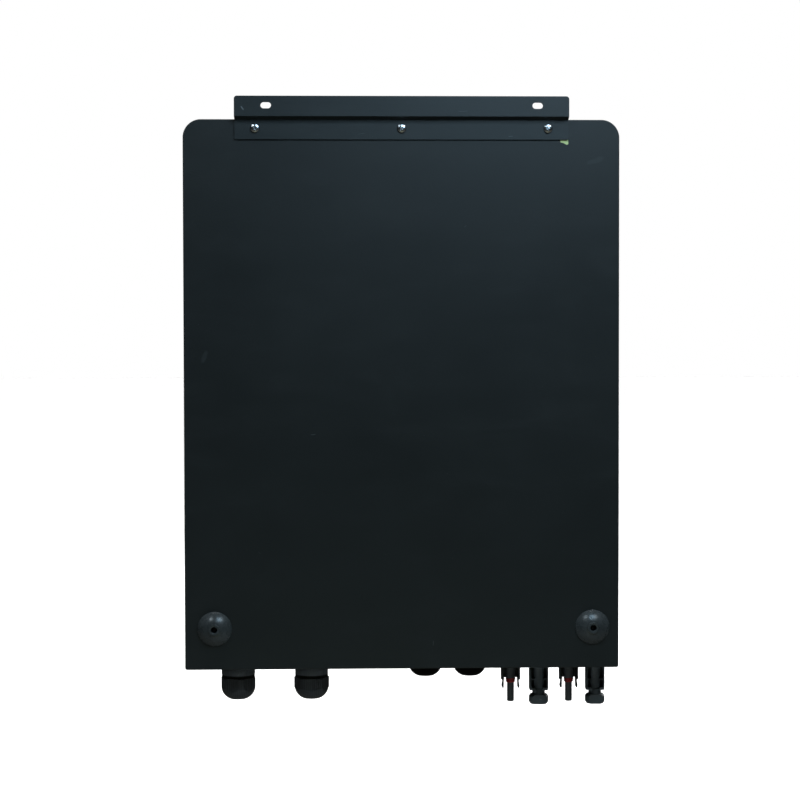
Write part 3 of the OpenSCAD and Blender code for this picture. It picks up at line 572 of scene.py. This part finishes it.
# ------------------------------------------------------------------ bracket screws: pan heads with a tapered cross recess
def pan_screws_piece():
    lo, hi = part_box("bracket_screws")
    seat, cz = lo[1] + 0.0029, (lo[2] + hi[2]) / 2
    bm, cut = bmesh.new(), bmesh.new()
    for cx, turn in ((lo[0] + 0.0045, 25), ((lo[0] + hi[0]) / 2, 47), (hi[0] - 0.0045, 20)):
        prof = [(0.0, hi[1] * -1 + seat), (0.0014, hi[1] * -1 + seat), (0.00195, hi[1] * -1 + seat + 0.0006), (0.00195, 0.0002), (0.00425, 0.0002),
                (0.00445, 0.0004), (0.00448, 0.0009)]
        # rounded shoulder, then a low crown
        prof += [(0.00308 + 0.00140 * math.cos(t), 0.00105 + 0.00128 * math.sin(t)) for t in (0.15, 0.35, 0.55, 0.75, 0.95, 1.12)]
        r1, h1 = prof[-1]
        prof += [(r1 * k, h1 + (0.00282 - h1) * (1 - k * k)) for k in (0.86, 0.7, 0.5, 0.3, 0.12)] + [(0.0, 0.00282)]
        lathe(bm, prof, (cx, seat, cz), (0, -1, 0), 64, close=False)
        ca, sa = math.cos(math.radians(turn)), math.sin(math.radians(turn))
        a, b = 0.0026, 0.00058
        outline = [(a, -b), (a, b), (b * 1.25, b * 1.25), (b, a), (-b, a), (-b * 1.25, b * 1.25), (-a, b), (-a, -b), (-b * 1.25, -b * 1.25),
                   (-b, -a), (b, -a), (b * 1.25, -b * 1.25)]
        rings = []
        for k, h in ((1.16, 0.0034), (0.52, 0.0011)):
            rings.append([cut.verts.new((cx + (x * ca - z * sa) * k, seat - h, cz + (x * sa + z * ca) * k)) for x, z in outline])
        cut.faces.new(rings[0])
        cut.faces.new(list(reversed(rings[1])))
        for i in range(12):
            j = (i + 1) % 12
            cut.faces.new((rings[0][i], rings[1][i], rings[1][j], rings[0][j]))
    o = new_object("pan_screws", bm, M["zinc_steel"])
    c = new_object("screw_recess_cutter", cut, M["zinc_steel"], smooth=False)
    b_ = o.modifiers.new("recess", "BOOLEAN")
    b_.operation = "DIFFERENCE"
    b_.object = c
    bpy.context.view_layer.update()
    me = bpy.data.meshes.new_from_object(o.evaluated_get(bpy.context.evaluated_depsgraph_get()))
    o.modifiers.clear()
    o.data = me
    bpy.data.objects.remove(c)
    for f in me.polygons:
        f.use_smooth = True
    sharpen(o, 32)
    e = o.modifiers.new("edge", "BEVEL")
    e.width, e.segments, e.limit_method, e.angle_limit, e.harden_normals = 0.00010, 2, "ANGLE", math.radians(34), True
    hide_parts("bracket_screws")
    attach(o, "case")


pan_screws_piece()


# ------------------------------------------------------------------ rounding of the CAD pieces' edges
BEVEL = {  # node: (width in m, segments)
    "side_shell": (0.0005, 3), "wall_bracket": (0.0006, 3), "bottom_plate": (0.0004, 2), "front_cover": (0.0006, 4),
    "wiring_cover": (0.0006, 4), "display_bezel": (0.0007, 4), "wiring_cover_screws": (0.0002, 2),
    "cover_side_screws": (0.0002, 2), "pv_plug_1": (0.0002, 2), "pv_plug_2": (0.0002, 2), "pv_socket_1": (0.00035, 2),
    "pv_socket_2": (0.00035, 2), "power_switch_housing": (0.0004, 2), "power_switch_rocker": (0.0005, 3),
    "ac_input_gland_body": (0.00025, 2), "ac_output_gland_body": (0.00025, 2), "battery_positive_gland_body": (0.0004, 2),
    "battery_negative_gland_body": (0.0004, 2), "escape_button": (0.0006, 3), "up_button": (0.0006, 3), "down_button": (0.0006, 3),
    "enter_button": (0.0006, 3), "status_lenses": (0.0005, 3),
}
for name, (w, seg) in BEVEL.items():
    o = N[name]
    wm = o.modifiers.new("weld", "WELD")
    wm.merge_threshold = 0.00002
    bm_ = o.modifiers.new("edge", "BEVEL")
    bm_.width = w
    bm_.segments = seg
    bm_.limit_method = "ANGLE"
    bm_.angle_limit = math.radians(32)
    bm_.harden_normals = True
    bm_.use_clamp_overlap = True


# ------------------------------------------------------------------ lights, floor, world
def area(name, loc, target, size, energy, color=(1, 1, 1), size_y=None):
    l = bpy.data.lights.new(name, "AREA")
    l.energy = energy
    l.color = color
    l.size = size
    if size_y:
        l.shape = "RECTANGLE"
        l.size_y = size_y
    o = bpy.data.objects.new(name, l)
    coll.objects.link(o)
    o.location = loc
    o.rotation_mode = "QUATERNION"
    o.rotation_quaternion = (Vector(target) - Vector(loc)).to_track_quat("-Z", "Y")
    return o


C = (0, 0.05, -0.28)
area("key_left", (-0.87, -1.25, 1.00), (0, 0, -0.30), 0.45, 6, (0.76, 0.91, 1.0))
area("key_right", (0.87, -1.25, 1.00), (0, 0, -0.30), 0.45, 6, (0.76, 0.91, 1.0))
area("top_wash", (0.25, -0.85, 0.45), (0.08, 0, -0.05), 0.45, 5.5, (0.535, 0.79, 1.0))
area("low_fill", (0.0, -1.30, -1.20), (0, 0, -0.50), 0.8, 0.45, (0.85, 1.0, 0.62))
glow = area("ground_glow", (0.0, -0.22, -0.85), (0, 0.02, -0.56), 0.70, 0.58, (0.84, 0.93, 0.96), 0.06)
glow.visible_glossy = False
area("front_left", (-1.4, 2.0, 0.9), C, 1.2, 40)
area("front_right", (1.6, 1.8, 0.5), C, 1.2, 34)
area("overhead", (0, 0.6, 2.0), C, 1.5, 18)

sun = bpy.data.lights.new("sun", "SUN")
sun.energy = 4.2
sun.angle = 0.4
sun_o = bpy.data.objects.new("sun", sun)
coll.objects.link(sun_o)
sun_o.location = (0, 0, 4)
sun_o.visible_glossy = False

fm = bpy.data.meshes.new("floor")
fm.from_pydata([(-30, -30, -0.76), (30, -30, -0.76), (30, 30, -0.76), (-30, 30, -0.76)], [], [(0, 1, 2, 3)])
floor = bpy.data.objects.new("floor", fm)
coll.objects.link(floor)
g = Mat("floor_mat")
g.color(g.mix(g.noise(3.0, 3, 0.5), (0.80, 0.80, 0.80), (0.84, 0.84, 0.84))).set(rough=0.75, spec=0.2)
floor.data.materials.append(g.m)
floor.visible_glossy = False
floor.visible_diffuse = False
floor.visible_shadow = False

w = bpy.data.worlds.new("studio")
scene.world = w
w.use_nodes = True
wt = w.node_tree
wt.nodes.clear()
wo = wt.nodes.new("ShaderNodeOutputWorld")
lp = wt.nodes.new("ShaderNodeLightPath")
seen = wt.nodes.new("ShaderNodeBackground")
seen.inputs[0].default_value = (1, 1, 1, 1)
seen.inputs[1].default_value = 1.0
# what lights the object from all round: dark above and level, brighter from the pale floor below
WORLD_LEVEL = (0.0015, 0.0015, 0.0015, 1)
WORLD_BELOW = (0.100, 0.100, 0.088, 1)
tex = wt.nodes.new("ShaderNodeTexCoord")
sepw = wt.nodes.new("ShaderNodeSeparateXYZ")
wt.links.new(tex.outputs["Generated"], sepw.inputs[0])
rng = wt.nodes.new("ShaderNodeMapRange")
rng.interpolation_type = "SMOOTHSTEP"
for i, v in enumerate((0.02, -0.55, 0.0, 1.0)):
    rng.inputs[i + 1].default_value = v
wt.links.new(sepw.outputs[2], rng.inputs[0])
wm_ = wt.nodes.new("ShaderNodeMix")
wm_.data_type = "RGBA"
wm_.inputs[6].default_value = WORLD_LEVEL
wm_.inputs[7].default_value = WORLD_BELOW
wt.links.new(rng.outputs[0], wm_.inputs[0])
lit = wt.nodes.new("ShaderNodeBackground")
lit.name = "lit"
wt.links.new(wm_.outputs[2], lit.inputs[0])
lit.inputs[1].default_value = 1.0
mx = wt.nodes.new("ShaderNodeMixShader")
wt.links.new(lp.outputs["Is Camera Ray"], mx.inputs[0])
wt.links.new(lit.outputs[0], mx.inputs[1])
wt.links.new(seen.outputs[0], mx.inputs[2])
wt.links.new(mx.outputs[0], wo.inputs[0])
scene.view_settings.view_transform = "Standard"
scene.view_settings.look = "None"
